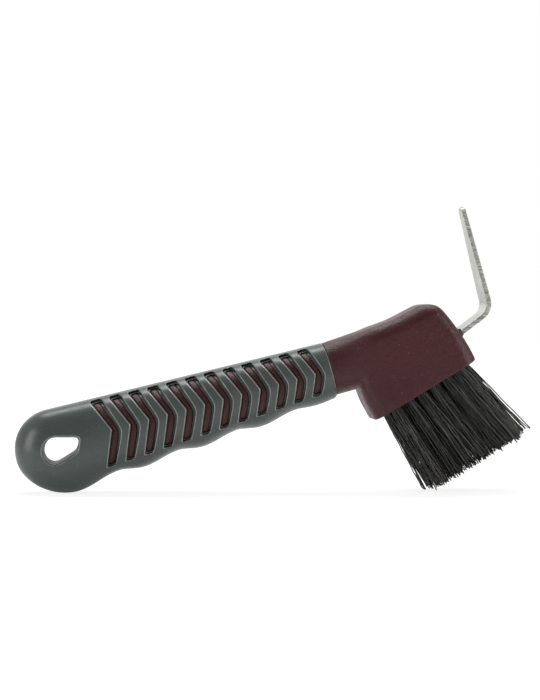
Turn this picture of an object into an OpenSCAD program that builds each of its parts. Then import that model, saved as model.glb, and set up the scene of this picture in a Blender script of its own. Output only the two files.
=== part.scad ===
// Hoof pick with brush.
// A hard plastic core carries a soft rubber grip, a bent steel pick blade and a
// field of bristle tufts, each tuft anchored in its own hole by a flat staple.
//
// Tool frame: s runs along the handle's axis from the centre of the round end
// to the head, y is across the handle (the tool is symmetric about y = 0) and
// t is square to both, on the blade's side. place() turns this frame into the
// standing tool: round end at -x, head raised towards +x, floor at z = 0.

/* [Stance] */
// Rise of the handle's axis above the floor, degrees
rise = 16.3; // [15:0.1:17.5]

/* [Grip] */
// Radius of the round end, seen from the side
bulb_r = 14.6; // [14:0.1:15.5]
// Drop of the round end's belly below the axis
bulb_drop = 15.8; // [15:0.1:16.5]
// Height of the grip's back above the axis at the round end
top_h = 15.1; // [14.5:0.05:15.5]
// Fall of the grip's back per millimetre towards the head
top_fall = 0.05; // [0.047:0.001:0.052]
// Length of the grip, from the centre of the round end to the seam at the neck
grip_l = 100.8; // [100:0.2:102]
// Half width of the round end
bulb_w = 11.4; // [11:0.1:12]
// Wall of the rubber over the core
rubber = 2.2; // [1.8:0.1:2.6]

/* [Finger swells] */
// Depth of the hollows under the grip, at the round end
hollow_h = 13.7; // [13.2:0.05:14]
// Rise of the hollows per millimetre towards the head
hollow_rise = 0.0418; // [0.04:0.001:0.044]
// Place of the first hollow
hollow_s = 19.6; // [19:0.1:20.2]
// Pitch of the finger swells
swell_pitch = 21.9; // [21.5:0.1:22.2]
// Height of a finger swell
swell_h = 1.65; // [0.8:0.05:2.2]

/* [Chevron windows] */
// Number of windows on each side
win_n = 12; // [4:1:12]
// Point of the first chevron
win_s = 22.1; // [21.5:0.1:22.5]
// Pitch of the chevrons
win_pitch = 6.74; // [6.6:0.02:6.84]
// Width of a window, along the handle
win_w = 3.3; // [2.6:0.1:3.5]
// Height of the first chevron's point above the axis
win_t = 2.3; // [1.5:0.1:3]
// Fall of the points per millimetre towards the head
win_fall = 0.024; // [0.015:0.001:0.03]
// Lean of a chevron's arms, degrees
win_lean = 23; // [18:1:26]
// Depth of the ribs' faces under the rubber's face
rib_depth = 1.1; // [0.8:0.1:1.5]
// Gap between a rib and each side of its window, along the handle
rib_gap = 0.4; // [0.2:0.1:0.6]

/* [Hang hole] */
// Radius of the hole's round end, through the rubber
hole_r = 5; // [4:0.1:5]
// Flat front end of the hole
hole_front = 8.5; // [7.5:0.1:8.6]
// Taper of the hole's sides, degrees
hole_taper = 17; // [12:1:18]
// Lip of the core inside the hole
hole_lip = 0.4; // [0.2:0.05:0.6]

/* [Head] */
// Width of the brush head
head_w = 26; // [25.8:0.2:28]
// Half width of the neck
neck_w = 10.75; // [10.4:0.05:10.8]
// Rear corner of the rim, along the handle
rim_s = 111.4; // [111:0.1:112]
// Rear corner of the rim, below the axis
rim_drop = 21.2; // [20.8:0.1:21.6]
// Length of the rim
rim_l = 41.1; // [40.6:0.1:41.6]
// Slope of the rim against the handle's axis, degrees
rim_tilt = 14.74; // [14:0.1:15.4]
// Radius of the head's upright corners
corner_r = 3.8; // [3:0.1:5]
// Radius along the head's upper edges
crown_r = 6.5; // [4:0.5:8]

/* [Blade] */
// Thickness of the steel strip
blade_th = 1.75; // [1.5:0.05:2]
// Width of the strip at the head
blade_w = 15; // [12:0.5:16]
// Width of the strip just below its tip
tip_w = 5.5; // [5:0.5:9]
// Height of the tip above the axis
blade_h = 42.6; // [40:0.2:44]
// Foot of the upright leg, along the handle
leg_s = 161.8; // [161:0.2:163]
// Lean of the upright leg away from the handle, degrees
leg_lean = 1.8; // [0:0.1:2]
// Slope of the shank where it leaves the head, degrees
shank_tilt = 20.3; // [19:0.1:22]
// Radius of the bend, to the middle of the strip
bend_r = 5.9; // [4:0.1:7]
// Diameter of the hole that locks the tang in the plastic
tang_hole_d = 4; // [3:0.5:5]

/* [Bristles] */
// Pitch of the tufts along the rim
tuft_pitch = 5.3; // [5.2:0.05:5.3]
// Distance between the rows
row_gap = 5.6; // [5.2:0.1:6]
// Diameter of a tuft hole
tuft_d = 3.8; // [3.4:0.1:3.8]
// Depth of a tuft hole
tuft_depth = 7.5; // [6.5:0.1:8]
// Free length of the bristles
bristle_l = 32.1; // [29:0.1:33]
// Diameter of a tuft at its tips
tuft_tip_d = 5.2; // [4:0.1:5.3]
// Lean of the rearmost tuft away from the blade, degrees
lean_rear = -1.7; // [-2:0.1:0]
// Lean of the foremost tuft towards the blade, degrees
lean_front = 9.2; // [7:0.1:9.5]
// Lean of the side rows, degrees
lean_side = 4; // [2:0.5:6]

/* [Staples] */
// Length of an anchor staple, across its hole
staple_l = 4.3; // [4:0.1:4.5]
// Height of an anchor staple
staple_h = 1.6; // [1.2:0.1:2]
// Thickness of an anchor staple
staple_th = 0.4; // [0.3:0.05:0.5]

/* [Hidden] */
$fn = 40;

burgundy = [0.30, 0.16, 0.17];
rubber_grey = [0.38, 0.42, 0.42];
steel = [0.72, 0.72, 0.70];
black = [0.09, 0.09, 0.085];

oval = 0.86;            // exponent of the grip's oval sections

// ---- plane geometry -------------------------------------------------------

// Ordinate of a superellipse at abscissa x
function bulge(x, exponent) = pow(max(0, 1 - pow(abs(x), exponent)), 1 / exponent);
function signed_pow(v, exponent) = sign(v) * pow(abs(v), exponent);
function unit(v) = v / norm(v);
function xy(p) = [p[0], p[1]];
function reversed(list) = [for (i = [len(list) - 1:-1:0]) list[i]];

function arc(centre, r, start, sweep, steps) =
    [for (i = [0:steps]) let (angle = start + sweep * i / steps)
        centre + r * [cos(angle), sin(angle)]];

// Arc of radius r that rounds the corner between two straight sides
function corner_pts(before, corner, after, r) =
    let (back = unit(before - corner), ahead = unit(after - corner),
         half = acos(max(-1, min(1, back * ahead))) / 2,
         setback = r / tan(half),
         centre = corner + unit(back + ahead) * r / sin(half),
         from = corner + back * setback - centre,
         to = corner + ahead * setback - centre,
         start = atan2(from[1], from[0]),
         turn = atan2(to[1], to[0]) - start,
         sweep = turn > 180 ? turn - 360 : turn < -180 ? turn + 360 : turn)
    arc(centre, r, start, sweep, max(1, ceil(abs(sweep) / 9)));

// Outline with rounded corners, each corner being [x, y, radius]
function rounded(corners) =
    let (n = len(corners))
    [for (i = [0:n - 1])
        let (before = xy(corners[(i + n - 1) % n]),
             corner = xy(corners[i]),
             after = xy(corners[(i + 1) % n]),
             r = corners[i][2])
        each (r > 0 ? corner_pts(before, corner, after, r) : [corner])];

// Oval section of the handle, as [y, t]
function section(half_w, bottom, top, exponent = oval, count = 28) =
    [for (i = [0:count - 1]) let (angle = 360 * i / count)
        [half_w * signed_pow(cos(angle), exponent),
         (bottom + top) / 2 + (top - bottom) / 2 * signed_pow(sin(angle), exponent)]];

// ---- solid helpers --------------------------------------------------------

// Prism across the handle with its outline in the side view
module across(y0, y1) translate([0, y1, 0]) rotate([90, 0, 0]) linear_extrude(y1 - y0) children();

// Prism along the handle with its outline in the end view
module along(s, length) translate([s, 0, 0]) rotate([90, 0, 90]) linear_extrude(length) children();

// Thin slice across the handle's axis, for a hull
module slice(s, pts) along(s, 0.02) polygon(pts);

// Closed solid through a list of rings with equal numbers of points
module loft(rings) {
    n = len(rings[0]);
    m = len(rings);
    polyhedron(
        points = [for (ring = rings) each ring],
        faces = concat(
            [[for (i = [0:n - 1]) i]],
            [[for (i = [n - 1:-1:0]) (m - 1) * n + i]],
            [for (j = [0:m - 2]) for (i = [0:n - 1]) let (k = (i + 1) % n)
                each [[j * n + i, (j + 1) * n + k, j * n + k],
                      [j * n + i, (j + 1) * n + i, (j + 1) * n + k]]]));
}

// ---- grip form ------------------------------------------------------------

back_exp = 2.1;         // superellipse exponents of the round end:
belly_exp = 1.85;       // its back, its belly
plan_exp = 2.4;         // and its half width
belly_s = 3.5;          // lowest point of the round end
w_gain = 0.055;         // half width gained per millimetre of s
w_loss = 0.0006;        // half width lost per square millimetre of s
swell_skew = 0.8;       // below 1, a swell peaks nearer its rear hollow
full_swells = 3;        // full swells, before the lower one at the neck
last_swell = 0.58;      // height of the lower swell, as a share of the others
bumper_l = 2;           // rounded nose of the rubber at the seam
nose_s = grip_l - bumper_l;
neck_top = top_h - top_fall * grip_l;
neck_bot = 9.2;         // underside of the neck, below the axis

function grip_top(s) = s < 0 ? top_h * bulge(s / bulb_r, back_exp) : top_h - top_fall * s;
function hollow(s) = -hollow_h + hollow_rise * s;
function swell(s) =
    let (turns = (s - hollow_s) / swell_pitch,
         part = turns - floor(turns),
         height = s > hollow_s + full_swells * swell_pitch ? last_swell * swell_h : swell_h)
    height * pow(sin(180 * pow(part, swell_skew)), 2);
function belly(s) =
    s < belly_s ? -bulb_drop * bulge((belly_s - s) / (belly_s + bulb_r), belly_exp)
    : s < hollow_s ? hollow(hollow_s) - (bulb_drop + hollow(hollow_s))
        * (1 + cos(180 * (s - belly_s) / (hollow_s - belly_s))) / 2
    : hollow(s) - swell(s);
function grip_bot(s) = s <= nose_s ? belly(s)
    : let (x = min(1, (s - nose_s) / bumper_l))
        -neck_bot + (belly(nose_s) + neck_bot) * sqrt(max(0, 1 - x * x));
function grip_w(s) = s < 0 ? bulb_w * bulge(s / bulb_r, plan_exp)
    : bulb_w + w_gain * s - w_loss * s * s;

// Straight-sided bar at a depth under the grip's face, without the finger swells
bar_sag = 0.2;          // extra depth of the bar's underside
bar_stops = [0, 25, 50, 75, 99.5, 100.78];
function bar_section(s, depth) =
    let (r = bulb_r - depth, bottom = hollow(max(0, s)) + depth - bar_sag)
    s < 0 ? section(max(0.6, bulb_w * bulge(s / r, plan_exp) * (1 - depth / bulb_w)),
                    bottom * bulge(s / r, back_exp),
                    (top_h - depth) * bulge(s / r, back_exp))
          : section(grip_w(s) - depth, bottom, grip_top(s) - depth);

module bar(depth) {
    round_stops = [for (angle = [16:14:80]) -(bulb_r - depth) * cos(angle)];
    hull() for (s = concat(round_stops, bar_stops)) slice(s, bar_section(s, depth));
}

// ---- chevron windows and ribs ---------------------------------------------

win_floor = 3.6;        // inner end of the window cutters, from the middle plane
cutter_l = 12;          // length of a window cutter, across the handle
rib_root = 3.8;         // inner end of the ribs, from the middle plane
rib_reach = 16;         // outer end of the ribs before they are trimmed
rib_inset = 0.8;        // shortening of a rib at the end of each arm
arm_end_r = 0.8;        // corner radius at a rib's ends
point_front_r = 2.2;    // corner radii at a rib's point: head side
point_rear_r = 0.5;     // and round-end side

// Point, upper end and lower end of a chevron whose point is at s
function chev_s(i) = win_s + win_pitch * i;
function chev_t(s) = win_t - win_fall * (s - win_s);
function chev_top(s) = top_h - top_fall * s - 0.55;
function chev_bot(s) = hollow(s) + 2.58;

// Outline of a rib whose point is at s
function chevron(s, w) =
    let (slope = tan(win_lean), point = chev_t(s),
         upper = chev_top(s) - rib_inset,
         lower = chev_bot(s) + rib_inset * 0.8,
         upper_back = slope * (upper - point),
         lower_back = slope * (point - lower),
         rear = s - w / 2, front = s + w / 2)
    rounded([[rear, point, point_rear_r],
             [rear - lower_back, lower, arm_end_r],
             [front - lower_back, lower, arm_end_r],
             [front, point, point_front_r],
             [front - upper_back, upper, arm_end_r],
             [rear - upper_back, upper, arm_end_r]]);

module ribs() intersection() {
    bar(rib_depth);
    for (i = [0:win_n - 1])
        for (span = [[rib_root, rib_reach], [-rib_reach, -rib_root]])
            across(span[0], span[1]) polygon(chevron(chev_s(i), win_w - 2 * rib_gap));
}

// Window cutter: two round-ended slots that meet at the chevron's point
module window_arm(a, b, d) hull() {
    translate(a) rotate([90, 0, 0]) cylinder(d = d, h = cutter_l, $fn = 12);
    translate(b) rotate([90, 0, 0]) cylinder(d = d, h = cutter_l, $fn = 12);
}
module windows() {
    d = win_w * cos(win_lean);
    slope = tan(win_lean);
    for (i = [0:win_n - 1])
        let (s = chev_s(i), point = chev_t(s),
             upper = chev_top(s) - d / 2,
             lower = chev_bot(s) + d / 2)
            for (y = [win_floor + cutter_l, -win_floor]) {
                window_arm([s, y, point], [s - slope * (upper - point), y, upper], d);
                window_arm([s, y, point], [s - slope * (point - lower), y, lower], d);
            }
}

// ---- hang hole ------------------------------------------------------------

hole_centre = [0.7, 0.8];   // centre of the round rear end, as [s, t]
hole_front_r = 1.3;         // radius of the two front corners

// Round rear end of radius r, sides closing towards a flat front
function hang_outline(r) =
    let (ds = hole_front - (hole_r - r) - hole_front_r - hole_centre[0],
         dt = ((r - hole_front_r) - sin(hole_taper) * ds) / cos(hole_taper),
         turn = 90 - hole_taper)
    concat(
        arc(hole_centre + [ds, dt], hole_front_r, turn, -turn, 10),
        arc(hole_centre + [ds, -dt], hole_front_r, 0, -turn, 10),
        arc(hole_centre, r, -turn, -(180 + 2 * hole_taper), 24));

module hang_hole(r) across(-20, 20) polygon(hang_outline(r));

// ---- head and neck --------------------------------------------------------

// Rim frame: u along the rim, y across, h up into the head
module rim_frame() translate([rim_s, 0, -rim_drop]) rotate([0, -rim_tilt, 0]) children();
function rim_pt(u, h) = [rim_s + u * cos(rim_tilt) - h * sin(rim_tilt),
                         -rim_drop + u * sin(rim_tilt) + h * cos(rim_tilt)];

rim_front = rim_pt(rim_l, 0);
front_wall_lean = 8.4;      // leans of the walls towards the handle, degrees
rear_wall_lean = 20.8;
crown_at = [121, 11.75];    // point on the plane of the head's back, as [s, t]
crown_tilt = 6.9;           // slope of that plane against the axis, degrees

// Side outline of the brush head, as [s, t, corner radius]
head_outline = [
    [108.8, 10.25, 0],
    [125.5, 10.95, 60],
    [141.5, 14.27, 6],
    [149.25, 1.9, 12],
    [rim_front[0], rim_front[1], 0.6],
    [rim_s, -rim_drop, 1],
    [107.1, -9.85, 0],
    [106.9, -8.2, 0]];

// Neck sections, as [s, half width, top, exponent]
neck_sections = [
    [grip_l, neck_w, neck_top - 0.03, oval],
    [104, neck_w + 0.35, neck_top + 0.08, 0.78],
    [113, head_w / 2 - 0.3, 10.38, 0.6]];

// Plate as wide as the head, rounded at its two corners near x = 0
module wall_plate() linear_extrude(80)
    polygon(rounded([[-70, -head_w / 2, 0], [0.02, -head_w / 2, corner_r],
                     [0.02, head_w / 2, corner_r], [-70, head_w / 2, 0]]));

module head_block() intersection() {
    across(-head_w / 2, head_w / 2) polygon(rounded(head_outline));
    // front corners, along the front wall
    translate([rim_front[0], 0, rim_front[1]]) rotate([0, -front_wall_lean, 0])
        translate([0, 0, -30]) wall_plate();
    // rear corners, along the rear wall
    translate([rim_s, 0, -rim_drop]) rotate([0, -rear_wall_lean, 0])
        translate([0, 0, -20]) mirror([1, 0, 0]) wall_plate();
    // crown, along the head's back
    translate([crown_at[0], 0, crown_at[1]]) rotate([0, -crown_tilt, 0])
        along(-30, 90)
        polygon(rounded([[-head_w / 2, -50, 0], [head_w / 2, -50, 0],
                         [head_w / 2, 0, crown_r], [-head_w / 2, 0, crown_r]]));
}

// Neck, flaring from the oval grip to the flat-sided head
module neck() hull() for (stop = neck_sections)
    slice(stop[0], section(stop[1], -neck_bot, stop[2], stop[3], 36));

// ---- blade ----------------------------------------------------------------

shank_exit = [150.2, 0.1];  // point on the shank's middle line, as [s, t]
tang_end_s = 129;
tang_bend_s = 147;
tang_bend_r = 8;
tang_hole_s = 134;
taper_t = 9;                // height where the leg starts to narrow
taper_r = 12;               // radius where it starts to narrow

// Middle line: tang, shank and leg, with rounded bends
function shank_t(s) = shank_exit[1] + (s - shank_exit[0]) * tan(shank_tilt);
tang_bend = [tang_bend_s, shank_t(tang_bend_s)];
tang_end = [tang_end_s, tang_bend[1]];
leg_foot = [leg_s, shank_t(leg_s)];
leg_top = [leg_s + (blade_h - leg_foot[1]) * tan(leg_lean), blade_h];
blade_path = concat([tang_end],
    corner_pts(tang_end, tang_bend, leg_foot, tang_bend_r),
    corner_pts(tang_bend, leg_foot, leg_top, bend_r),
    [leg_top]);

// Direction of a path at point i, and the path moved sideways
function path_dir(path, i) = i == 0 ? unit(path[1] - path[0])
    : i == len(path) - 1 ? unit(path[i] - path[i - 1])
    : unit(unit(path[i + 1] - path[i]) + unit(path[i] - path[i - 1]));
function beside(path, shift) = [for (i = [0:len(path) - 1])
    let (dir = path_dir(path, i)) path[i] + shift * [-dir[1], dir[0]]];

module blade_solid() difference() {
    side = blade_w / 2 + 0.01;
    intersection() {
        across(-blade_w / 2, blade_w / 2)
            polygon(concat(beside(blade_path, blade_th / 2),
                           reversed(beside(blade_path, -blade_th / 2))));
        // taper of the leg, seen from the front
        along(120, 60)
            polygon(rounded([[-side, -20, 0], [side, -20, 0], [side, taper_t, taper_r],
                             [tip_w / 2, blade_h, tip_w * 0.42],
                             [-tip_w / 2, blade_h, tip_w * 0.42],
                             [-side, taper_t, taper_r]]));
    }
    translate([tang_hole_s, 0, tang_end[1] - 5]) cylinder(d = tang_hole_d, h = 10);
}

// ---- tufts and staples ----------------------------------------------------

// Rows 0, 1 and 2 are the left (-y), middle and right (+y) rows. The middle row
// has one tuft more and starts half a pitch nearer the round end.
function row_len(row) = row == 1 ? 7 : 6;
field_l = 6 * tuft_pitch;               // first to last tuft of the middle row
tuft_u0 = rim_l / 2 + 0.65 - field_l / 2;
tuft_sink = 0.6;        // start of the flaring bristles, inside the hole
tuft_ease = 0.15;       // gap round the bristles where they start
staple_gap = 0.6;       // from the bottom of the hole to the staple

function tuft_u(row, i) = tuft_u0 + tuft_pitch * (i + (row == 1 ? 0 : 0.5));
function lean_u(u) = -lean_rear + (lean_rear + lean_front) * (u - tuft_u0) / field_l;

module tuft_axis(row, i) rim_frame()
    translate([tuft_u(row, i), (row - 1) * row_gap, 0]) children();

module staple(row, i) tuft_axis(row, i)
    translate([-staple_th / 2, -staple_l / 2, tuft_depth - staple_h - staple_gap])
    cube([staple_th, staple_l, staple_h]);

module staples() for (row = [0:2]) for (i = [0:row_len(row) - 1]) staple(row, i);

module tuft_holes() for (row = [0:2]) for (i = [0:row_len(row) - 1])
    tuft_axis(row, i) translate([0, 0, -5]) cylinder(d = tuft_d, h = tuft_depth + 5);

// ---- stance ---------------------------------------------------------------

// World x and z of a point [s, t], before the tool is lifted and centred
function world_x(p) = p[0] * cos(rise) - p[1] * sin(rise);
function world_z(p) = p[0] * sin(rise) + p[1] * cos(rise);

rear_tip = rim_pt(tuft_u0 - bristle_l * tan(lean_rear) - tuft_tip_d / 2, -bristle_l);
front_tip = rim_pt(tuft_u0 + field_l + bristle_l * tan(lean_front) + tuft_tip_d / 2,
                   -bristle_l);
// The round end or the bristles' rear edge, whichever is lower, meets the floor
lift = max(-world_z(rear_tip),
    max([for (s = [-8:0.25:belly_s]) -world_z([s, grip_bot(s)])]));
x_lo = min([for (angle = [0:2:90]) let (s = -bulb_r * cos(angle)) world_x([s, grip_top(s)])]);
x_hi = world_x(front_tip);

module place() translate([-(x_lo + x_hi) / 2, 0, lift]) rotate([0, -rise, 0]) children();

// ---- the pieces -----------------------------------------------------------

module handle_core() color(burgundy) place() difference() {
    union() {
        bar(rubber);
        ribs();
        neck();
        head_block();
    }
    hang_hole(hole_r - hole_lip);
    blade_solid();
    tuft_holes();
    staples();
}

grip_stops = concat(
    [for (angle = [9:9:81]) -bulb_r * cos(angle)],
    [for (s = [0:swell_pitch / 8:nose_s - 0.6]) s],
    [for (angle = [0:18:90]) nose_s + bumper_l * sin(angle)]);

module grip_sleeve() color(rubber_grey) place() difference() {
    loft([for (s = grip_stops)
        [for (p = section(grip_w(s), grip_bot(s), grip_top(s))) [s, p[0], p[1]]]]);
    bar(rubber);
    windows();
    hang_hole(hole_r);
}

module pick_blade() color(steel) place() blade_solid();

// Plug in the hole and flaring bristles, cut off parallel to the rim
module tuft(row, i) color(black) place() difference() {
    tuft_axis(row, i) {
        cylinder(d = tuft_d, h = tuft_depth);
        intersection() {
            rotate([(row - 1) * lean_side, -lean_u(tuft_u(row, i)), 0])
                mirror([0, 0, 1]) translate([0, 0, -tuft_sink])
                cylinder(r1 = tuft_d / 2 - tuft_ease, r2 = tuft_tip_d / 2, h = bristle_l + 3);
            translate([-20, -20, -bristle_l]) cube([40, 40, bristle_l + 0.5]);
        }
    }
    staple(row, i);
}

module anchor_staples() color(steel) place() staples();

handle_core();
grip_sleeve();
pick_blade();
tuft(0, 0);  // tuft_left_1
tuft(0, 1);  // tuft_left_2
tuft(0, 2);  // tuft_left_3
tuft(0, 3);  // tuft_left_4
tuft(0, 4);  // tuft_left_5
tuft(0, 5);  // tuft_left_6
tuft(1, 0);  // tuft_mid_1
tuft(1, 1);  // tuft_mid_2
tuft(1, 2);  // tuft_mid_3
tuft(1, 3);  // tuft_mid_4
tuft(1, 4);  // tuft_mid_5
tuft(1, 5);  // tuft_mid_6
tuft(1, 6);  // tuft_mid_7
tuft(2, 0);  // tuft_right_1
tuft(2, 1);  // tuft_right_2
tuft(2, 2);  // tuft_right_3
tuft(2, 3);  // tuft_right_4
tuft(2, 4);  // tuft_right_5
tuft(2, 5);  // tuft_right_6
anchor_staples();
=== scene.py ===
"""A pick with a brush: rubber grip over a moulded core, a head with bristles below and a
steel blade standing up at its far end.

Tool frame, in millimetres: x runs from the grip's butt to the blade, y across, z up and
square to both. to_row() tips it up by RISE and gives the row frame in metres, where the
bristles reach down to the floor and the camera looks from -Y.
"""
import bmesh
import bpy
import math
import numpy as np
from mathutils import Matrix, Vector


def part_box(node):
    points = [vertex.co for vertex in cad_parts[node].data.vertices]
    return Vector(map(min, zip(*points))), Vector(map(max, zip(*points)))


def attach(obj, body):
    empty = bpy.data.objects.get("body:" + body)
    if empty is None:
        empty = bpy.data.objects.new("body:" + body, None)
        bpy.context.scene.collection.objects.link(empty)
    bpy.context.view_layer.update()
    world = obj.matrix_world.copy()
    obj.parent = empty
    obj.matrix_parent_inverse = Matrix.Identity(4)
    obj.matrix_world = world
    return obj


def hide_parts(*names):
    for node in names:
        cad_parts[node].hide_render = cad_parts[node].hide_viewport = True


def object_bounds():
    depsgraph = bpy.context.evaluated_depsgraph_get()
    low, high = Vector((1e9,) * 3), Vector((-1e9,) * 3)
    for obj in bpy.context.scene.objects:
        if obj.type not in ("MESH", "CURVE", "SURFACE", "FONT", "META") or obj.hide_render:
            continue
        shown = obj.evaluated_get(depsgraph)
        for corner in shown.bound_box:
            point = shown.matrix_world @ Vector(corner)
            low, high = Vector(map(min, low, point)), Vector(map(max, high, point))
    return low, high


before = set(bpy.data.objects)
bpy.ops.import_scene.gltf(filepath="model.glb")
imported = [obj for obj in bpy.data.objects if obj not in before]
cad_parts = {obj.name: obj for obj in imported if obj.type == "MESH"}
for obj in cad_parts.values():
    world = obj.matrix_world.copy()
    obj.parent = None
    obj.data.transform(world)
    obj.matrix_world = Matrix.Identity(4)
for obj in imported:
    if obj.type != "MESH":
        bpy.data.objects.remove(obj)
cad_low, cad_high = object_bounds()

RISE = math.radians(16.3)
RISE_COS, RISE_SIN = math.cos(RISE), math.sin(RISE)

# Grip outline in side view
TOP_Z, TOP_FALL = 15.1, 0.05            # top line at x = 0, and its fall per mm
HOLLOW_Z, HOLLOW_RISE = -13.7, 0.0418   # line through the hollows of the belly
BUTT, BUTT_DEPTH, LOW_X = 14.6, 15.8, 3.5   # butt length, lowest point's depth and place
SWELL_X, SWELL_PITCH, SWELL_DEPTH = 19.6, 21.9, 1.65
SMALL_SWELL = 0.58                      # share of the depth after the first three swells
GRIP_END = 100.8
NOSE_X = GRIP_END - 2.0                 # the belly rounds up to the neck from here
NECK_DEPTH = 9.2
# Grip cross-section
GRIP_HALF = 11.4
MID_Z = 0.2
OVAL = 2 / 0.86                         # superellipse power
BUTT_POWER = 2.1
# Chevron ribs in windows of the rubber, with depths below its face
LEAN = math.radians(23)
RIB_X, RIB_PITCH, RIB_COUNT = 22.1, 6.74, 12
RUBBER_DEPTH, RIB_DEPTH, GROOVE_DEPTH = 2.2, 1.12, 1.45
SPINE_HALF = 3.2                        # half the plain strip between the two sides
HANG_LEAN = math.radians(16.4)          # taper of the hanging hole


# --- Outline of the grip and place of the tool ---
def hollow_line(x):
    return HOLLOW_Z + HOLLOW_RISE * x


def swell_line(x):
    turns = (x - SWELL_X) / SWELL_PITCH
    part = turns - np.floor(turns)
    depth = np.where(x > SWELL_X + 3 * SWELL_PITCH, SMALL_SWELL * SWELL_DEPTH, SWELL_DEPTH)
    return hollow_line(x) - depth * np.sin(np.pi * part ** 0.8) ** 2


def belly(x):
    """Underside of the grip: butt, rise to the first hollow, finger swells, nose."""
    back = np.clip((LOW_X - x) / (LOW_X + BUTT), 0, 1)
    butt = -BUTT_DEPTH * np.maximum(0, 1 - back ** 1.85) ** (1 / 1.85)
    hollow = hollow_line(SWELL_X)
    ease = np.cos(np.pi * np.clip((x - LOW_X) / (SWELL_X - LOW_X), 0, 1))
    rise = hollow - (BUTT_DEPTH + hollow) * (1 + ease) / 2
    line = np.where(x < LOW_X, butt, np.where(x < SWELL_X, rise, swell_line(x)))
    part = np.clip((x - NOSE_X) / (GRIP_END - NOSE_X), 0, 1)
    nose = -NECK_DEPTH + (swell_line(NOSE_X) + NECK_DEPTH) * np.sqrt(np.maximum(0, 1 - part ** 2))
    return np.where(x > NOSE_X, nose, line)


def tool_origin():
    """Row x and z of the tool origin in mm: the tilted grip touches its CAD box."""
    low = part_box("grip_sleeve")[0]
    x = -BUTT * np.cos(np.radians(np.arange(0, 91, 2.0)))
    z = TOP_Z * np.maximum(0, 1 - np.abs(x / BUTT) ** BUTT_POWER) ** (1 / BUTT_POWER)
    row_x = low.x * 1000 - float((x * RISE_COS - z * RISE_SIN).min())
    x = np.arange(-8, LOW_X, 0.25)
    return row_x, low.z * 1000 + float((-(x * RISE_SIN + belly(x) * RISE_COS)).max())


ORIGIN_X, ORIGIN_Z = tool_origin()


def to_row(points):
    """Tool frame in mm to row frame in metres."""
    x, y, z = np.moveaxis(np.asarray(points, float), -1, 0)
    return np.stack([x * RISE_COS - z * RISE_SIN + ORIGIN_X, y,
                     x * RISE_SIN + z * RISE_COS + ORIGIN_Z], -1) / 1000


# --- Signed fields (negative inside) and their meshing ---
def round_and(a, b, radius):
    """Intersection with a rounded edge."""
    over_a, over_b = np.maximum(a + radius, 0), np.maximum(b + radius, 0)
    return np.minimum(np.maximum(a, b), -radius) + np.sqrt(over_a * over_a + over_b * over_b)


def round_or(a, b, radius):
    """Union with a rounded inside corner."""
    near_a, near_b = np.maximum(radius - a, 0), np.maximum(radius - b, 0)
    return np.maximum(np.minimum(a, b), radius) - np.sqrt(near_a * near_a + near_b * near_b)


def smooth_step(value, start, end):
    part = np.clip((value - start) / (end - start), 0, 1)
    return part * part * (3 - 2 * part)


def sample(field, low, high, cell, block=8, batch=600000):
    """Grid of field values, exact only in blocks whose centre is near the surface."""
    low = np.array(low, float)
    size = np.ceil((np.array(high, float) - low) / cell).astype(int) + 1
    blocks = -(-size // block)
    centres = [low[k] + (np.arange(blocks[k]) * block + (block - 1) / 2) * cell
               for k in range(3)]
    x, y, z = np.meshgrid(*centres, indexing="ij")
    coarse = field(x.ravel(), y.ravel(), z.ravel()).reshape(blocks)
    near = np.abs(coarse) < block * cell * 0.87 * 1.6 + 1.0
    grid = np.where(coarse < 0, -1e3, 1e3)
    for axis in range(3):
        grid = np.repeat(grid, block, axis=axis)
        near = np.repeat(near, block, axis=axis)
    grid = grid[:size[0], :size[1], :size[2]].copy()
    near = np.nonzero(near[:size[0], :size[1], :size[2]])
    for i in range(0, len(near[0]), batch):
        at = tuple(index[i:i + batch] for index in near)
        grid[at] = field(*(low[k] + at[k] * cell for k in range(3)))
    return grid, low


def surface_nets(field, low, high, cell):
    """Quad mesh of a field's surface: one vertex in each grid cell the surface crosses."""
    grid, low = sample(field, low, high, cell)
    grid = np.where(grid == 0, 1e-6, grid)
    inside = grid < 0
    size = np.array(grid.shape)
    corners = np.array([(i, j, k) for i in (0, 1) for j in (0, 1) for k in (0, 1)])
    count = np.zeros(size - 1, np.int8)
    for i, j, k in corners:
        count += inside[i:size[0] - 1 + i, j:size[1] - 1 + j, k:size[2] - 1 + k]
    crossed = (count > 0) & (count < 8)
    cells = np.argwhere(crossed)
    values = [grid[tuple((cells + corner).T)] for corner in corners]
    total = np.zeros((len(cells), 3))
    hits = np.zeros(len(cells))
    for i in range(8):
        for j in range(i + 1, 8):
            edge = corners[j] - corners[i]
            if np.abs(edge).sum() != 1:
                continue
            start, end = values[i], values[j]
            cut = (start < 0) != (end < 0)
            part = np.where(cut, start / np.where(cut, start - end, 1), 0)
            total += cut[:, None] * (corners[i] + part[:, None] * edge)
            hits += cut
    points = low + (cells + total / hits[:, None]) * cell

    vertex = -np.ones(size - 1, np.int64)
    vertex[crossed] = np.arange(len(cells))
    quads = []
    for axis in range(3):
        others = [k for k in range(3) if k != axis]
        edges = np.argwhere(np.diff(inside, axis=axis))
        across = edges[:, others]
        edges = edges[((across > 0) & (across < size[others] - 1)).all(1)]
        ring = []
        for shift in ((-1, -1), (0, -1), (0, 0), (-1, 0)):
            around = edges.copy()
            around[:, others] += shift
            ring.append(vertex[tuple(around.T)])
        ring = np.stack(ring, 1)
        turned = inside[tuple(edges.T)] == (axis == 1)
        ring[turned] = ring[turned][:, ::-1]
        quads.append(ring)
    quads = np.concatenate(quads)
    for step in range(5):
        if step < 2:
            points = relax(points, quads)
        points = pull_to_surface(field, points, cell)
    return points, quads


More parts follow.
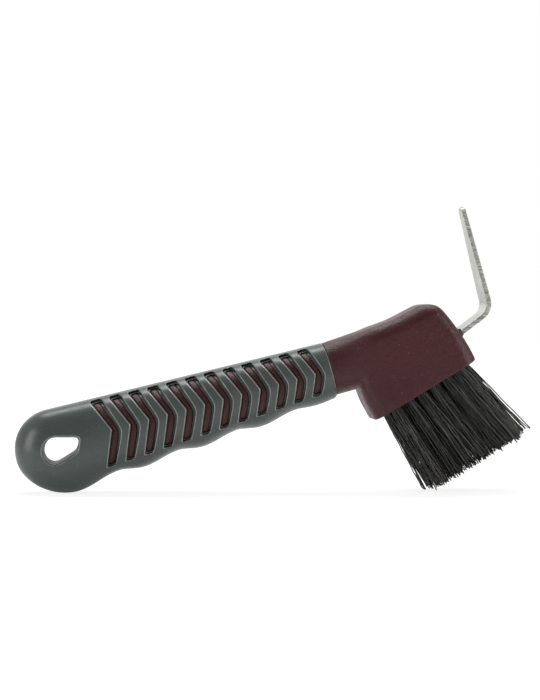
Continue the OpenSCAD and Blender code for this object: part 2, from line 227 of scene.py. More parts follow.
def relax(points, quads, weight=1.0):
    """Move each vertex halfway, times its weight, to the mean of its neighbours."""
    edges = np.concatenate([quads[:, [i, (i + 1) % 4]] for i in range(4)])
    start, end = edges.T
    count = len(points)
    degree = np.bincount(edges.ravel(), minlength=count).astype(float)
    mean = np.stack([np.bincount(start, line[end], count) + np.bincount(end, line[start], count)
                     for line in points.T], 1) / np.maximum(degree, 1)[:, None]
    return points + (mean - points) * np.reshape(0.5 * weight, (-1, 1))


def pull_to_surface(field, points, cell):
    """One Newton step along the field's gradient, no longer than 0.6 of a cell."""
    reach = cell * 0.15
    slope = np.stack([(field(*(points + d).T) - field(*(points - d).T)) / (2 * reach)
                      for d in np.eye(3) * reach], 1)
    move = (field(*points.T) / np.maximum((slope * slope).sum(1), 0.2))[:, None] * slope
    length = np.linalg.norm(move, axis=1)
    return points - move * np.minimum(1, 0.6 * cell / np.maximum(length, 1e-9))[:, None]


# --- Objects ---
def make_object(name, verts, face_sets, smooth=True):
    """Mesh object; each face set is an array of faces with the same corner count."""
    mesh = bpy.data.meshes.new(name)
    verts = np.asarray(verts, np.float32)
    mesh.vertices.add(len(verts))
    mesh.vertices.foreach_set("co", verts.ravel())
    face_sets = [np.asarray(faces, np.int32) for faces in face_sets]
    loops = np.concatenate([faces.ravel() for faces in face_sets])
    counts = np.concatenate([np.full(len(f), f.shape[1], np.int32) for f in face_sets])
    starts = np.concatenate([[0], np.cumsum(counts)[:-1]]).astype(np.int32)
    mesh.loops.add(len(loops))
    mesh.loops.foreach_set("vertex_index", loops)
    mesh.polygons.add(len(counts))
    mesh.polygons.foreach_set("loop_start", starts)
    mesh.polygons.foreach_set("loop_total", counts)
    mesh.update(calc_edges=True)
    mesh.validate()
    mesh.polygons.foreach_set("use_smooth", np.full(len(mesh.polygons), smooth))
    piece = bpy.data.objects.new(name, mesh)
    bpy.context.scene.collection.objects.link(piece)
    return piece


def set_attribute(piece, name, values):
    attribute = piece.data.attributes.new(name, "FLOAT", "POINT")
    attribute.data.foreach_set("value", values.astype(np.float32))


def fit(piece, material, node):
    """Give a piece its material and put it in place of a CAD node."""
    piece.data.materials.append(material)
    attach(piece, "root")
    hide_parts(node)


def tube_quads(rings, sides):
    i, j = np.meshgrid(np.arange(rings - 1), np.arange(sides), indexing="ij")
    near, far, after = i * sides, (i + 1) * sides, (j + 1) % sides
    return np.stack([near + j, near + after, far + after, far + j], -1).reshape(-1, 4)


# --- Grip fields ---
def grip_field(x, y, z, swells=True):
    """Full grip body; without swells the belly is a straight line under the hollows."""
    y = np.abs(y)
    up = z - MID_Z
    radius = np.sqrt(y * y + up * up) + 1e-9
    side, lift = y / radius, up / radius
    down = np.maximum(-lift, 0) ** 2
    turn = LOW_X * down                 # the butt starts to round off behind this x
    along = np.clip(np.maximum(x, turn), 0, GRIP_END)
    bottom = belly(along) if swells else hollow_line(along) - 0.2
    half_height = np.where(up > 0, TOP_Z - TOP_FALL * along - MID_Z, MID_Z - bottom)
    half_width = GRIP_HALF + 0.055 * along - 0.0006 * along * along
    reach = 1 / ((side / half_width) ** OVAL + (np.abs(lift) / half_height) ** OVAL) ** (1 / OVAL)
    power = BUTT_POWER + 0.3 * side * side - 0.25 * down
    back = np.maximum(turn - x, 0)
    ratio = ((back / (BUTT + turn)) ** power + (radius / reach) ** power) ** (1 / power)
    return np.sqrt(back * back + radius * radius) * (1 - 1 / np.maximum(ratio, 1e-3))


def chevron(x, z, level, wide=0.0, top_in=0.0, bottom_in=0.0, corner=0.6):
    """Side view of the nearest chevron. level is 0 at the rib's face and 1 at the rubber's;
    wide adds the groove ahead of the rib."""
    lean_cos, lean_sin = math.cos(LEAN), math.sin(LEAN)
    tip_z, tip_fall = 2.3, 0.024        # height of the chevrons' points, and its fall per mm
    arm = np.abs(z - tip_z + tip_fall * (x - RIB_X))
    i = np.clip(np.round((x + lean_sin / lean_cos * arm - RIB_X) / RIB_PITCH), 0, RIB_COUNT - 1)
    rib_x = RIB_X + RIB_PITCH * i
    ahead = x - rib_x
    up = z - tip_z + tip_fall * RIB_PITCH * i
    spread = np.clip(up, -12, 12)
    rear_bend = np.sqrt(up * up + 0.2 ** 2) - 0.1
    rear = -(ahead * lean_cos + rear_bend * lean_sin) - (1.05 + 0.42 * level)
    half = 1.08 + 0.045 * spread + (0.78 + 0.035 * spread) * wide + 0.16 * level
    front_bend = np.sqrt((up + 1.2) ** 2 + 1.6 ** 2) - 0.3
    front = ahead * lean_cos + front_bend * lean_sin - half
    top = TOP_Z - TOP_FALL * rib_x - 0.55 - top_in
    bottom = hollow_line(rib_x) + 2.58 + bottom_in
    return round_and(np.maximum(front, rear), np.maximum(z - top, bottom - z), corner)


def two_sided(shape, y):
    """Leave the plain strip along the middle out of a side-view shape."""
    return np.maximum(shape, SPINE_HALF - np.abs(y))


def hang_field(x, y, z, radius):
    """Teardrop hanging hole across the butt, cut off by two flats."""
    x, z = x - 0.42 + 0.04 * np.abs(y), z - 0.52
    off = np.abs(z)
    lean_cos, lean_sin = math.cos(HANG_LEAN), math.sin(HANG_LEAN)
    hole = np.where(x * lean_cos - off * lean_sin < 0, np.sqrt(x * x + z * z) - radius,
                    x * lean_sin + off * lean_cos - radius)
    hole = round_and(hole, 0.2663 * x - 0.9635 * z - (radius - 0.48), 0.9)
    return round_and(hole, 0.927 * x - 0.3753 * z - 7.2 - (radius - 4.55), 1.5)


def window_cut(x, y, z, grip):
    """Shallow pockets at both ends of a window, a deeper groove beside the rib."""
    level = np.clip(1 + grip / RIB_DEPTH, 0, 1.3)
    pocket = np.maximum(chevron(x, z, level, wide=1.0), -(grip + 0.8))
    groove = chevron(x, z, level, wide=1.0, top_in=1.0, bottom_in=0.7, corner=0.8)
    return two_sided(np.minimum(pocket, np.maximum(groove, -(grip + GROOVE_DEPTH))), y)


def hang_cut(x, y, z, grip):
    flare = 0.36 * np.clip(1 + grip / 0.9, 0, 1.3)
    return hang_field(x, y, z, 4.76 + 0.023 * (np.abs(y) - 9) + flare)


def sleeve_field(x, y, z):
    grip = grip_field(x, y, z)
    body = round_and(grip, x - (GRIP_END - 0.02), 0.42)
    body = round_and(body, -hang_cut(x, y, z, grip), 0.32)
    body = round_and(body, -window_cut(x, y, z, grip), 0.28)
    rib_hole = chevron(x, z, 0.0, top_in=1.15, bottom_in=0.8, corner=0.8)
    body = np.maximum(body, -two_sided(rib_hole, y))
    return np.maximum(body, -(grip_field(x, y, z, False) + RUBBER_DEPTH))


def sleeve_highlight_edges(x, y, z):
    """1 along the rounded edges of the rubber, 0 elsewhere: the mask of a painted highlight
    there.
    """
    grip = grip_field(x, y, z)
    rim = np.zeros_like(grip)
    for cut in (-window_cut(x, y, z, grip), -hang_cut(x, y, z, grip), x - (GRIP_END - 0.02)):
        off = np.hypot(grip - cut, 0.5 * (np.minimum(grip, cut) + 0.09))
        rim = np.maximum(rim, np.clip(1 - off / 0.30, 0, 1))
    return rim


# --- Head and core fields ---
# Blade centre line: flat tang, slope out of the head, upright leg
SLOPE = math.radians(20.3)
SLOPE_X, SLOPE_Z = 150.2, 0.1           # a point on the slope
LEG_LEAN, LEG_TOP = math.radians(1.8), 42.6


def slope_point(x):
    return x, SLOPE_Z + (x - SLOPE_X) * math.tan(SLOPE)


TANG_END = slope_point(147)
FOOT = slope_point(161.8)
LEG_END = (FOOT[0] + (LEG_TOP - FOOT[1]) * math.tan(LEG_LEAN), LEG_TOP)

# Brush frame: u along the head's lower face, height square to it
BRUSH_TILT = math.radians(14.74)
BRUSH_COS, BRUSH_SIN = math.cos(BRUSH_TILT), math.sin(BRUSH_TILT)
BRUSH_X, BRUSH_Z, BRUSH_LENGTH = 111.4, -21.2, 41.1
TUFT_PITCH = 5.3
FIRST_U = BRUSH_LENGTH / 2 + 0.65 - 3 * TUFT_PITCH
# Rows of tufts: label, y, count, shift along u in pitches
ROWS = [("left", -5.6, 6, 0.5), ("mid", 0.0, 7, 0.0), ("right", 5.6, 6, 0.5)]
TUFT_HOLE_R, TUFT_HOLE_DEPTH = 1.9, 7.5

# Planes that bound the head: normal x, normal z, offset, edge radius
HEAD_PLANES = [
    (0.8473, 0.5309, 128.08, 5.3), (0.9893, 0.1461, 148.12, 5.3),
    (-0.972, -0.2353, -102.76, 4.8), (0.2544, -0.9671, 48.84, 0.45),
    (-0.947, 0.321, -103.96, 5.0),
]


def head_top(x):
    """Height of the head's top: two lines with a soft bend between them."""
    rear, front = 10.25 + 0.042 * (x - 108.8), 10.8 + 0.2075 * (x - 125.5)
    return 0.5 * (rear + front + np.sqrt((rear - front) ** 2 + 0.2))


def strip_distance(x, z, start, end):
    """Distance to a segment in side view, and signed height over its line."""
    way = np.array(end) - np.array(start)
    length = float(np.hypot(*way))
    way = way / length
    x, z = x - start[0], z - start[1]
    along, over = x * way[0] + z * way[1], -x * way[1] + z * way[0]
    return np.hypot(np.maximum(np.maximum(-along, along - length), 0), over), over


def head_field(x, y, z):
    wide = np.abs(y)
    top = head_top(x)
    up = z - MID_Z
    blend = smooth_step(x, 101.5, 120)  # the neck's oval turns into the head's box

    def oval(up):
        radius = np.sqrt(wide * wide + up * up) + 1e-9
        half_height = np.where(up > 0, top - MID_Z, MID_Z + NECK_DEPTH)
        ratio = ((wide / 10.75) ** OVAL + (np.abs(up) / half_height) ** OVAL) ** (1 / OVAL)
        return radius * (1 - 1 / np.maximum(ratio, 1e-3))

    box = round_and(wide - 13.0, (z - top) * 0.985, 5.6)
    head = oval(np.maximum(up, 0.0))
    head = head + (box - head) * blend
    for normal_x, normal_z, offset, radius in HEAD_PLANES:
        head = round_and(head, normal_x * x + normal_z * z - offset, radius)
    neck = oval(up)
    neck = neck + (round_and(box, -(z + NECK_DEPTH + 0.3), 5.0) - neck) * blend
    neck = round_and(neck, GRIP_END + 0.02 - x, 0.15)
    neck = round_and(neck, x - 121.0, 2.0)
    fillet = 1.1 * (1 - smooth_step(z, -8, -3)) * (1 - smooth_step(x, 108, 112.5))
    return round_or(head, neck, 0.05 + fillet)


def fitted_head(x, y, z):
    """Head with the lip and pocket of the blade, and the tuft holes."""
    slope_gap, over = strip_distance(x, z, TANG_END, FOOT)
    tang_gap, _ = strip_distance(x, z, (128.9, TANG_END[1]), TANG_END)
    out = (x - 150.0) * math.cos(SLOPE) + (z - SLOPE_Z) * math.sin(SLOPE)
    lip = round_and(np.abs(over - 0.35) - 1.4, np.abs(y) - 8.3, 0.5)
    lip = np.maximum(round_and(lip, out + 0.35, 0.5), 146 - x)
    head = round_or(head_field(x, y, z), lip, 0.5)
    pocket = np.maximum(np.minimum(slope_gap, tang_gap) - 0.93, np.abs(y) - 7.57)
    head = round_and(head, -pocket, 0.2)
    u = (x - BRUSH_X) * BRUSH_COS + (z - BRUSH_Z) * BRUSH_SIN - FIRST_U
    height = -(x - BRUSH_X) * BRUSH_SIN + (z - BRUSH_Z) * BRUSH_COS
    hole = np.full_like(head, 99.0)
    for _, row_y, count, shift in ROWS:
        i = np.clip(np.round(u / TUFT_PITCH - shift), 0, count - 1)
        off = np.hypot(u - TUFT_PITCH * (i + shift), y - row_y)
        hole = np.minimum(hole, off - TUFT_HOLE_R)
    return round_and(head, -np.maximum(hole, height - TUFT_HOLE_DEPTH), 0.15)


def core_field(x, y, z):
    body = grip_field(x, y, z, False) + RUBBER_DEPTH + 0.04
    body = np.maximum(body, x - (GRIP_END + 3))
    rib = chevron(x, z, 0.0, top_in=1.12, bottom_in=0.77, corner=0.8) - 0.04
    rib = round_and(grip_field(x, y, z) + RIB_DEPTH, two_sided(rib, y), 0.45)
    body = np.minimum(body, rib)
    body = round_and(body, -hang_field(x, y, z, 4.55 + 0.023 * np.abs(y)), 0.2)
    front = x > 96
    if front.any():
        body[front] = np.minimum(body[front], fitted_head(x[front], y[front], z[front]))
    return body


# --- Materials: procedural, in object space (metres) ---
def srgb(*channels):
    """8-bit sRGB to linear RGBA."""
    parts = [c / 255 for c in channels]
    return tuple(c / 12.92 if c <= 0.04045 else ((c + 0.055) / 1.055) ** 2.4
                 for c in parts) + (1.0,)


class Shader:
    """Short ways to add nodes to a material or a world."""

    def __init__(self, block):
        block.use_nodes = True
        self.tree = block.node_tree
        self.coords = self.node("ShaderNodeTexCoord").outputs
        self.place = self.coords["Object"]

    def put(self, node, inputs):
        for key, value in inputs.items():
            if isinstance(value, bpy.types.NodeSocket):
                self.tree.links.new(value, node.inputs[key])
            else:
                node.inputs[key].default_value = value

    def node(self, kind, inputs=None, **props):
        node = self.tree.nodes.new(kind)
        for key, value in props.items():
            setattr(node, key, value)
        self.put(node, inputs or {})
        return node

    def noise(self, scale, detail=2.0, rough=0.5, vector=None):
        return self.node("ShaderNodeTexNoise", {
            "Vector": vector or self.place, "Scale": scale, "Detail": detail,
            "Roughness": rough}).outputs["Fac"]

    def ramp(self, value, span, to=(0.0, 1.0), **props):
        return self.node("ShaderNodeMapRange", {
            "Value": value, "From Min": span[0], "From Max": span[1],
            "To Min": to[0], "To Max": to[1]}, **props).outputs[0]

    def math(self, operation, a, b=0.0):
        return self.node("ShaderNodeMath", {0: a, 1: b}, operation=operation).outputs[0]

    def mix(self, factor, a, b):
        return self.node("ShaderNodeMix", {0: factor, 6: a, 7: b}, data_type="RGBA").outputs[2]

    def mix_shader(self, factor, a, b):
        return self.node("ShaderNodeMixShader",
                         {0: factor, 1: a.outputs[0], 2: b.outputs[0]}).outputs[0]

    def bump(self, height, strength, dist, under=None):
        inputs = {"Height": height, "Strength": strength, "Distance": dist}
        if under is not None:
            inputs["Normal"] = under
        return self.node("ShaderNodeBump", inputs).outputs[0]

    def attribute(self, name):
        return self.node("ShaderNodeAttribute", attribute_name=name).outputs["Fac"]

    def camera_ray(self):
        return self.node("ShaderNodeLightPath").outputs["Is Camera Ray"]

    def surface(self, inputs):
        self.put(self.tree.nodes["Principled BSDF"], inputs)


def new_material(name):
    material = bpy.data.materials.new(name)
    return material, Shader(material)


def rubber_material():
    material, m = new_material("grey_soft_rubber")
    blotch = m.noise(scale=55, detail=3, rough=0.55)
    fine = m.noise(scale=1500, detail=2, rough=0.6)
    color = m.mix(m.ramp(blotch, span=(0.35, 0.65)), srgb(68, 75, 73), srgb(75, 82, 80))
    color = m.mix(m.ramp(fine, span=(0.62, 0.75)), color, srgb(94, 101, 99))
    rim, painted_recess_shade = m.attribute("rim"), m.attribute("painted_recess_shade")
    # Painted shade: darker below the rubber's face, in the windows' pockets and grooves and in
    # the hanging hole
    color = m.mix(m.ramp(painted_recess_shade, span=(0, 1), to=(0, 0.8)), color, srgb(54, 57, 56))
    # Painted highlight: a pale line along the rubber's rounded edges, with a glossier finish
    # there
    color = m.mix(m.ramp(rim, span=(0.1, 0.85), to=(0, 0.85)), color, srgb(166, 173, 170))
    rough = m.ramp(m.noise(scale=260, detail=3, rough=0.6), span=(0.3, 0.7), to=(0.28, 0.36))
    waves = m.bump(m.noise(scale=420), strength=0.10, dist=0.0002)
    m.surface({
        "Base Color": color,
        "Roughness": m.math("SUBTRACT", rough, m.math("MULTIPLY", rim, 0.1)),
        "Specular IOR Level": m.ramp(rim, span=(0, 1), to=(0.5, 1.0)),
        "Normal": m.bump(m.noise(scale=2600), strength=0.12, dist=0.00004, under=waves)})
    return material


def burgundy_material():
    material, m = new_material("burgundy_moulded_plastic")
    blotch = m.noise(scale=70, detail=4, rough=0.6)
    color = m.mix(m.ramp(blotch, span=(0.35, 0.68)), srgb(63, 21, 25), srgb(71, 26, 30))
    streak = m.noise(scale=340, detail=4, rough=0.65)
    color = m.mix(m.ramp(streak, span=(0.6, 0.8), to=(0, 0.5)), color, srgb(84, 38, 42))
    speck = m.node("ShaderNodeTexVoronoi", {"Vector": m.place, "Scale": 650.0})
    gate = m.ramp(m.noise(scale=900, detail=0), span=(0.6, 0.66))
    dots = m.math("MULTIPLY", m.ramp(speck.outputs["Distance"], span=(0.16, 0.07)), gate)
    color = m.mix(m.math("MULTIPLY", dots, 0.5), color, srgb(140, 102, 100))
    rough = m.noise(scale=500, detail=3, rough=0.6)
    waves = m.bump(m.noise(scale=480, detail=3, rough=0.55), strength=0.35, dist=0.00022)
    grain = m.noise(scale=1500, detail=2, rough=0.6)
    m.surface({
        "Base Color": color,
        "Roughness": m.ramp(rough, span=(0.3, 0.7), to=(0.36, 0.50)),
        "Specular IOR Level": 0.42,
        "Normal": m.bump(grain, strength=0.8, dist=0.00026, under=waves)})
    return material


def steel_material():
    material, m = new_material("blade_steel_strip")

    def marks(stretch, **noise):
        mapping = m.node("ShaderNodeMapping", {
            "Vector": m.place, "Rotation": (0, RISE, 0), "Scale": stretch})
        return m.noise(vector=mapping.outputs[0], rough=0.6, **noise)

    normal = m.node("ShaderNodeSeparateXYZ",
                    {0: m.node("ShaderNodeNewGeometry").outputs["Normal"]}).outputs
    edge = m.ramp(m.math("ABSOLUTE", normal[1]), span=(0.6, 0.85))
    # Long rolling marks on the faces, short cut marks across the sheared edges
    roll = marks((1.0, 1.0, 0.06), scale=1400, detail=3)
    cut = marks((0.12, 1.0, 1.0), scale=3400, detail=2)
    patch = m.ramp(m.noise(scale=120, detail=4, rough=0.6), span=(0.3, 0.7))
    face = m.mix(patch, srgb(206, 207, 201), srgb(222, 223, 216))
    dark = m.mix(m.ramp(cut, span=(0.38, 0.62)), srgb(132, 134, 123), srgb(205, 206, 197))
    # Faces that look up get a darker base colour, painted shade; the rounded tip is darker too
    height = m.node("ShaderNodeSeparateXYZ", {0: m.place}).outputs[2]
    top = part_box("pick_blade")[1].z
    upward = m.math("MULTIPLY", m.ramp(normal[2], span=(0.55, 0.95)), 0.75)
    painted_up_shade_and_dark_tip = m.math("MAXIMUM", upward, m.ramp(height, span=(top - 0.0016, top - 0.0006)))
    rough = m.ramp(roll, span=(0.3, 0.7), to=(0.32, 0.44))
    rolled = m.bump(roll, strength=0.12, dist=0.00006)
    sheared = m.math("MULTIPLY", cut, edge)
    m.surface({
        "Base Color": m.mix(painted_up_shade_and_dark_tip, m.mix(edge, face, dark), srgb(150, 151, 145)),
        "Metallic": m.ramp(edge, span=(0, 1), to=(0.85, 0.35)),
        "Roughness": m.math("ADD", rough, m.math("MULTIPLY", edge, 0.14)),
        "Normal": m.bump(sheared, strength=0.6, dist=0.00016, under=rolled)})
    return material


def bristle_material():
    material, m = new_material("black_nylon_bristle")
    shade = m.attribute("shade")
    color = m.mix(shade, srgb(13, 13, 11), srgb(98, 97, 91))
    patch = m.ramp(m.noise(scale=900), span=(0.45, 0.7), to=(0, 0.4))
    m.surface({
        "Base Color": m.mix(patch, color, srgb(48, 48, 44)),
        "Roughness": m.ramp(shade, span=(0, 1), to=(0.42, 0.28)),
        "Specular IOR Level": 0.5,
        "Normal": m.bump(m.noise(scale=2500), strength=0.2, dist=0.00003)})
    return material


def staple_material():
    material, m = new_material("staple_wire_steel")
    grain = m.noise(scale=1800, detail=3, rough=0.6)
    tone = m.ramp(grain, span=(0.3, 0.7))
    m.surface({
        "Base Color": m.mix(tone, srgb(170, 170, 165), srgb(205, 205, 200)),
        "Metallic": 0.95,
        "Roughness": m.ramp(grain, span=(0.3, 0.7), to=(0.25, 0.4)),
        "Normal": m.bump(grain, strength=0.2, dist=0.00004)})
    return material


def floor_material():
    """The camera sees the floor nearly white; the tool is lit by its plain surface."""
    material, m = new_material("floor_pale")
    m.surface({"Base Color": (0.93, 0.93, 0.93, 1), "Roughness": 0.8,
               "Specular IOR Level": 0.15})
    glow = m.node("ShaderNodeEmission", {"Color": (1, 1, 1, 1), "Strength": 1.15})
    length = m.node("ShaderNodeVectorMath", {0: m.place}, operation="LENGTH").outputs["Value"]
    far = m.ramp(length, span=(0.12, 0.40), to=(0.72, 1.0), interpolation_type="SMOOTHSTEP")
    share = m.math("MAXIMUM", m.math("MULTIPLY", far, m.camera_ray()), 0.17)
    nodes = m.tree.nodes
    m.put(nodes["Material Output"], {0: m.mix_shader(share, nodes["Principled BSDF"], glow)})
    return material


# --- Pieces ---
def build_sleeve(material):
    points, quads = surface_nets(sleeve_field, (-17, -15, -18), (103, 15, 17),
                                 cell=0.28)
    sleeve = make_object("grip_sleeve_rubber", to_row(points), [quads])
    # Mask of a painted highlight along the rubber's rounded edges
    set_attribute(sleeve, "rim", sleeve_highlight_edges(*points.T))
    # Mask of the painted shade below the rubber's face
    set_attribute(sleeve, "painted_recess_shade", smooth_step(-grip_field(*points.T), 0.3, 1.2))
    fit(sleeve, material, "grip_sleeve")


def build_core(material):
    points, quads = surface_nets(core_field, (-15, -15, -24), (155, 15, 16),
                                 cell=0.33)
    # Soften the top where the neck runs into the head
    x, _, z = points.T
    weight = smooth_step(x, 102, 104) * (1 - smooth_step(x, 122, 126)) * smooth_step(z, 0, 3)
    for _ in range(8):
        points = relax(points, quads, weight)
    core = make_object("handle_core_moulding", to_row(points), [quads])
    fit(core, material, "handle_core")


BLADE_HALF, BLADE_TIP_HALF = 7.5, 2.75  # half widths below the taper and at its end
BLADE_THICK, BLADE_EDGE_R = 1.75, 0.32
TAPER_Z = 9                             # the leg narrows from here up
TIP = 2.6                               # length of the rounded tip


def bend(before, corner, after, radius, steps):
    """Points of an arc that rounds off a corner."""
    before, corner, after = map(np.array, (before, corner, after))
    back = (before - corner) / np.linalg.norm(before - corner)
    on = (after - corner) / np.linalg.norm(after - corner)
    half = math.acos(float(np.clip(back @ on, -1, 1))) / 2
    centre = corner + (back + on) / np.linalg.norm(back + on) * radius / math.sin(half)
    start, end = (corner + way * radius / math.tan(half) - centre for way in (back, on))
    angle = math.atan2(start[1], start[0])
    sweep = (math.atan2(end[1], end[0]) - angle + math.pi) % (2 * math.pi) - math.pi
    turns = [angle + sweep * i / steps for i in range(steps + 1)]
    return [centre + radius * np.array([math.cos(a), math.sin(a)]) for a in turns]


def blade_section(half, thick, radius):
    """Rounded rectangle as (y, z) points, with extra points along its flats."""
    corners = [(1, 1), (-1, 1), (-1, -1), (1, -1)]

    def point(corner, degrees):
        side, level = corners[corner % 4]
        angle = math.radians(degrees)
        return np.array([side * (half - radius) + radius * math.cos(angle),
                         level * (thick - radius) + radius * math.sin(angle)])

    ring = []
    for i in range(4):
        ring += [point(i, 90 * i + 30 * k) for k in range(4)]
        start, end = point(i, 90 * i + 90), point(i + 1, 90 * i + 90)
        parts = 12 if i % 2 == 0 else 2
        ring += [start + (end - start) * k / parts for k in range(1, parts)]
    return ring


def blade_ring(point, normal, past_tip):
    """Section at a path point; past_tip is the way up the leg beyond its end, in mm."""
    on_leg = point[0] > 150
    taper = (point[1] - TAPER_Z) / (LEG_TOP - TAPER_Z) if on_leg else -1.0
    taper = 0.5 * (taper + math.sqrt(taper * taper + 0.0025)) if taper > -0.3 else 0.0
    half = BLADE_HALF + (BLADE_TIP_HALF - BLADE_HALF) * min(taper, 1)
    over = float(np.clip(1 + past_tip / TIP, 0, 1)) if on_leg else 0.0
    half *= max(0.05, math.sqrt(max(0.0, 1 - over ** 2.3)))
    dome = max(0.0, (over - 0.62) / 0.38)
    thick = BLADE_THICK / 2 * max(0.12, math.sqrt(max(0.0, 1 - dome ** 2.4)))
    radius = min(BLADE_EDGE_R, half * 0.8, thick * 0.8)
    return [(point[0] + normal[0] * z, y, point[1] + normal[1] * z)
            for y, z in blade_section(half, thick, radius)]


def build_blade(material):
    """A bent strip with rounded edges and a blunt round tip."""
    start, end = (129.0, TANG_END[1]), np.array(LEG_END)
    up = np.array([math.sin(LEG_LEAN), math.cos(LEG_LEAN)])
    corners = [np.array(start), *bend(start, TANG_END, FOOT, radius=8, steps=8),
               *bend(TANG_END, FOOT, LEG_END, radius=5.9, steps=20), end]
    path = [corners[0]]
    for a, b in zip(corners[:-1], corners[1:]):
        parts = max(1, int(math.ceil(np.linalg.norm(b - a) / 0.5)))
        path += [a + (b - a) * (i + 1) / parts for i in range(parts)]
    path = np.array(path)
    # The last stretch gets rings that crowd towards the tip
    keep = (path - end) @ up < -TIP
    keep[:len(path) // 2] = True
    turn = np.radians(np.linspace(0, 89, 22))
    path = np.concatenate([path[keep], end + (np.sin(turn) * TIP - TIP)[:, None] * up])
    way = np.gradient(path, axis=0)
    way /= np.linalg.norm(way, axis=1)[:, None]
    rings = np.array([blade_ring(point, (-ahead[1], ahead[0]), (point - end) @ up)
                      for point, ahead in zip(path, way)])
    count, sides = rings.shape[:2]
    points = np.concatenate([rings.reshape(-1, 3), [rings[0].mean(0), rings[-1].mean(0)]])
    i, last = np.arange(sides), (count - 1) * sides
    after, hub = (i + 1) % sides, np.full(sides, count * sides)
    fans = np.concatenate([np.stack([hub, after, i], 1),
                           np.stack([hub + 1, last + i, last + after], 1)])
    blade = make_object("pick_blade_strip", to_row(points), [tube_quads(count, sides), fans])
    shell = bmesh.new()
    shell.from_mesh(blade.data)
    bmesh.ops.recalc_face_normals(shell, faces=shell.faces)
    shell.to_mesh(blade.data)
    shell.free()
    fit(blade, material, "pick_blade")


FREE = 32.1                             # bristle length below the head
TUFT_R = 1.68
FILAMENTS, STATIONS, SIDES = ((50, 16, 6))


def filament(n, u, y, lean_u, lean_y, rng):
    """Rings of one crimped filament in the brush frame, and its shade."""
    out = math.sqrt((n + 0.5) / FILAMENTS)
    angle = n * math.pi * (3 - math.sqrt(5)) + rng.uniform(-0.25, 0.25)
    base_u, base_y = TUFT_R * out * math.cos(angle), TUFT_R * out * math.sin(angle)
    spread = rng.uniform(0.5, 1.6)
    lean_u = lean_u + base_u / TUFT_R * 0.030 * spread + rng.normal(0, 0.026)
    lean_y = lean_y + base_y / TUFT_R * 0.034 * spread + rng.normal(0, 0.024)
    if rng.random() < 0.07:             # a few stray ones
        lean_u += rng.normal(0, 0.055)
        lean_y += rng.normal(0, 0.05)
    length = FREE - 0.35 + min(rng.normal(0, 0.42), 0.6)
    length -= (rng.random() < 0.16) * rng.uniform(0.6, 3.0)
    root = -6.4 + rng.uniform(0, 0.4)
    wave, phase = rng.uniform(7.5, 13), rng.uniform(0, 2 * math.pi)
    swing, heading = rng.uniform(0.10, 0.42), rng.uniform(0, math.pi)
    curl_u, curl_y = rng.normal(0, 0.65), rng.normal(0, 0.65)
    radius = rng.uniform(0.175, 0.245)
    down = np.concatenate([[root, -2.0], np.linspace(0.2, length, STATIONS)])
    free = np.maximum(down, 0)
    curl = np.clip(down / FREE, 0, 1.2) ** 2
    crimp = swing * np.clip(down / 4.0, 0, 1) * np.sin(2 * math.pi * down / wave + phase)
    splay = 1 + 0.32 * (1 - np.exp(-free / 2.5))
    line = np.stack([
        u + base_u * splay + free * lean_u + curl_u * curl + crimp * math.cos(heading),
        y + base_y * splay + free * lean_y + curl_y * curl + crimp * math.sin(heading),
        -down], 1)
    turn = np.arange(SIDES) * 2 * math.pi / SIDES + rng.uniform(0, 6)
    ring = np.stack([radius * np.cos(turn), radius * np.sin(turn), np.zeros(SIDES)], 1)
    rings = line[:, None, :] + ring[None]
    rings[-1, :, 2] += ring[:, 0] * rng.uniform(-0.8, 0.8)  # slanted cut end
    shade = np.clip(rng.beta(0.9, 1.7) + (rng.random() < 0.06) * 0.4, 0, 1)
    return rings.reshape(-1, 3), shade


def build_tuft(name, u, y, lean_y, rng):
    part = (u - FIRST_U) / (6 * TUFT_PITCH)
    lean_u = math.tan(math.radians(1.7 + 7.5 * part))
    strands = [filament(n, u, y, lean_u, lean_y, rng) for n in range(FILAMENTS)]
    points = np.concatenate([strand for strand, _ in strands])
    rings = STATIONS + 2
    size = rings * SIDES
    strand_quads = np.roll(tube_quads(rings, SIDES), -1, axis=1)
    quads = np.concatenate([n * size + strand_quads for n in range(FILAMENTS)])
    side = np.arange(SIDES)
    caps = [cap for n in range(FILAMENTS)
            for cap in (n * size + side, (n + 1) * size - SIDES + side[::-1])]
    u, y, height = points.T
    placed = to_row(np.stack([BRUSH_X + u * BRUSH_COS - height * BRUSH_SIN, y,
                              BRUSH_Z + u * BRUSH_SIN + height * BRUSH_COS], 1))
    placed[:, 2] = np.maximum(placed[:, 2], cad_low.z + 0.00012)  # stay above the floor
    tuft = make_object(name, placed, [quads, caps])
    set_attribute(tuft, "shade", np.repeat([shade for _, shade in strands], size))
    return tuft


def build_bristles(material):
    rng = np.random.default_rng(7)
    for row, (label, y, count, shift) in enumerate(ROWS):
        lean_y = math.tan(math.radians((row - 1) * 4.5))
        for i in range(count):
            u = FIRST_U + TUFT_PITCH * (i + shift)
            tuft = build_tuft(f"bristles_{label}_{i + 1}", u, y, lean_y, rng)
            fit(tuft, material, f"tuft_{label}_{i + 1}")


def paint_staples(material):
    """The staples keep their CAD mesh."""
    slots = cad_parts["anchor_staples"].data.materials
    if slots:
        slots[0] = material
    else:
        slots.append(material)


# --- Stage, light and camera ---
def build_floor(radius=3.0, sides=96):
    material = floor_material()
    angles = [2 * math.pi * i / sides for i in range(sides)]
    rim = [(radius * math.cos(a), radius * math.sin(a), 0) for a in angles]
    fan = [(0, 1 + i, 1 + (i + 1) % sides) for i in range(sides)]
    floor = make_object("floor", [(0, 0, 0)] + rim, [fan], smooth=False)
    floor.location.z = cad_low.z
    floor.data.materials.append(material)


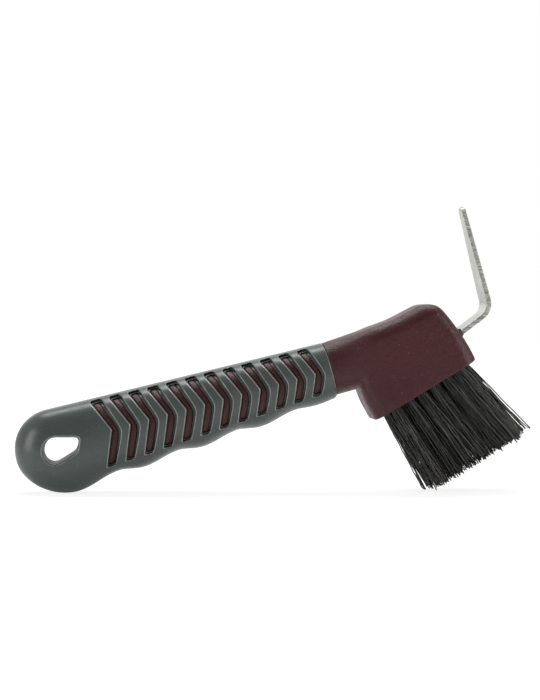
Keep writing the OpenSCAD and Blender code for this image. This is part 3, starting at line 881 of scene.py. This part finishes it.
def build_world():
    """White to the camera; as light, grey that brightens towards +Y."""
    world = bpy.data.worlds.new("studio")
    bpy.context.scene.world = world
    shader = Shader(world)
    nodes = shader.tree.nodes
    depth = shader.node("ShaderNodeSeparateXYZ", {0: shader.coords["Generated"]}).outputs[1]
    strength = shader.ramp(depth, span=(-0.55, 0.35), to=(0.16, 0.50),
                           interpolation_type="SMOOTHSTEP")
    light = nodes["Background"]
    shader.put(light, {"Color": (1, 1, 1, 1), "Strength": strength})
    backdrop = shader.node("ShaderNodeBackground", {"Color": (1, 1, 1, 1)})
    shader.put(nodes["World Output"],
               {0: shader.mix_shader(shader.camera_ray(), light, backdrop)})


# Area lights: name, place, size (m), power (W)
LIGHTS = [
    ("overhead", (0.0, 0.26, 0.72), (0.7, 0.28), 3.5),
    ("left_box", (-0.57, -0.27, 0.14), (0.24, 0.6), 2.0),
    ("right_box", (0.57, -0.27, 0.14), (0.20, 0.6), 2.2),
    ("back", (0.0, 0.7, 0.3), (0.8, 0.5), 0.8),
]
LIGHT_TARGET = Vector((0, 0, 0.05))


def add_to_scene(name, data, place, target):
    item = bpy.data.objects.new(name, data)
    bpy.context.scene.collection.objects.link(item)
    item.location = place
    item.rotation_euler = (target - Vector(place)).to_track_quat("-Z", "Y").to_euler()
    return item


def build_lights():
    for name, place, size, power in LIGHTS:
        light = bpy.data.lights.new(name, "AREA")
        light.shape = "RECTANGLE"
        light.size, light.size_y = size
        light.energy = power
        add_to_scene(name, light, place, LIGHT_TARGET).visible_camera = False


def build_camera():
    data = bpy.data.cameras.new("camera")
    data.sensor_width = 36.0
    data.lens = 111.0
    azimuth, elevation, distance = math.radians(-5.0), math.radians(1.0), 0.769
    aim = Vector((ORIGIN_X + 75.63, 0, 50.35)) / 1000
    place = aim + distance * Vector((math.sin(azimuth) * math.cos(elevation),
                                     -math.cos(azimuth) * math.cos(elevation),
                                     math.sin(elevation)))
    bpy.context.scene.camera = add_to_scene("camera", data, place, aim)


rubber = rubber_material()
burgundy = burgundy_material()
steel = steel_material()
nylon = bristle_material()
staple_wire = staple_material()

build_sleeve(rubber)
build_core(burgundy)
build_blade(steel)
build_bristles(nylon)
paint_staples(staple_wire)

build_floor()
build_world()
build_lights()
build_camera()
bpy.context.scene.view_settings.view_transform = "Standard"
